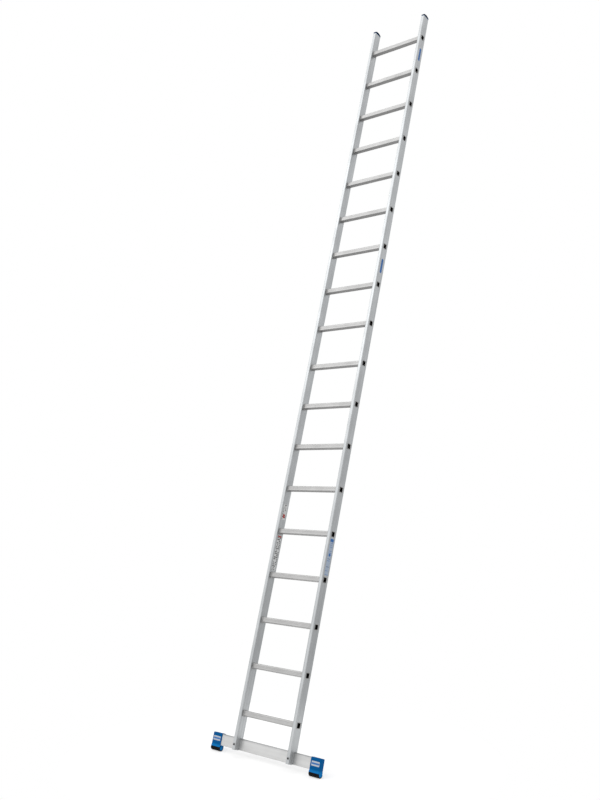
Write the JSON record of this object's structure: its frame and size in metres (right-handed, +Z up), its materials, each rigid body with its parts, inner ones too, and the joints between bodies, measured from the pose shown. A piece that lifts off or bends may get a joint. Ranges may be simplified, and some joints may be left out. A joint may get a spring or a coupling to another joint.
{
  "type": "leaning rung ladder",
  "caption": "Single-section aluminium leaning ladder with square rungs through hollow stiles, a stabiliser bar on rubber-soled feet and padded stile tops.",
  "frame": {"origin": "on the floor, at the middle of the ladder's box seen from above", "axes": "+Z up from the floor, X along the rungs, +Y towards the wall that the ladder leans on"},
  "size_m": [0.854, 1.5404, 4.9926],
  "materials": {
    "stile_aluminium": "extruded, plain, with fine lines along the stile",
    "rung_aluminium": "extruded, ribbed",
    "bar_aluminium": "extruded, plain, with fine lines along the bar",
    "blue_plastic": "moulded, satin",
    "black_rubber": "moulded, matt",
    "plate_plastic": "smooth, plain",
    "zinc_steel": "zinc plated"
  },
  "bodies": {
    "root": {"stile_left": "stile_aluminium", "stile_right": "stile_aluminium", "rung_01": "rung_aluminium", "rung_02": "rung_aluminium", "rung_03": "rung_aluminium", "rung_04": "rung_aluminium", "rung_05": "rung_aluminium", "rung_06": "rung_aluminium", "rung_07": "rung_aluminium", "rung_08": "rung_aluminium", "rung_09": "rung_aluminium", "rung_10": "rung_aluminium", "rung_11": "rung_aluminium", "rung_12": "rung_aluminium", "rung_13": "rung_aluminium", "rung_14": "rung_aluminium", "rung_15": "rung_aluminium", "rung_16": "rung_aluminium", "rung_17": "rung_aluminium", "rung_18": "rung_aluminium", "stabiliser_bar": "bar_aluminium", "foot_cap_left": "blue_plastic", "foot_sole_left": "black_rubber", "foot_plate_left": "plate_plastic", "foot_screw_left": "zinc_steel", "top_plug_left": "blue_plastic", "top_pad_left": "black_rubber", "bar_bolt_left": "zinc_steel", "bar_washer_front_left": "zinc_steel", "bar_spacer_left": "zinc_steel", "bar_washer_rear_left": "zinc_steel", "bar_nut_left": "zinc_steel", "foot_cap_right": "blue_plastic", "foot_sole_right": "black_rubber", "foot_plate_right": "plate_plastic", "foot_screw_right": "zinc_steel", "top_plug_right": "blue_plastic", "top_pad_right": "black_rubber", "bar_bolt_right": "zinc_steel", "bar_washer_front_right": "zinc_steel", "bar_spacer_right": "zinc_steel", "bar_washer_rear_right": "zinc_steel", "bar_nut_right": "zinc_steel"}
  },
  "joints": []
}
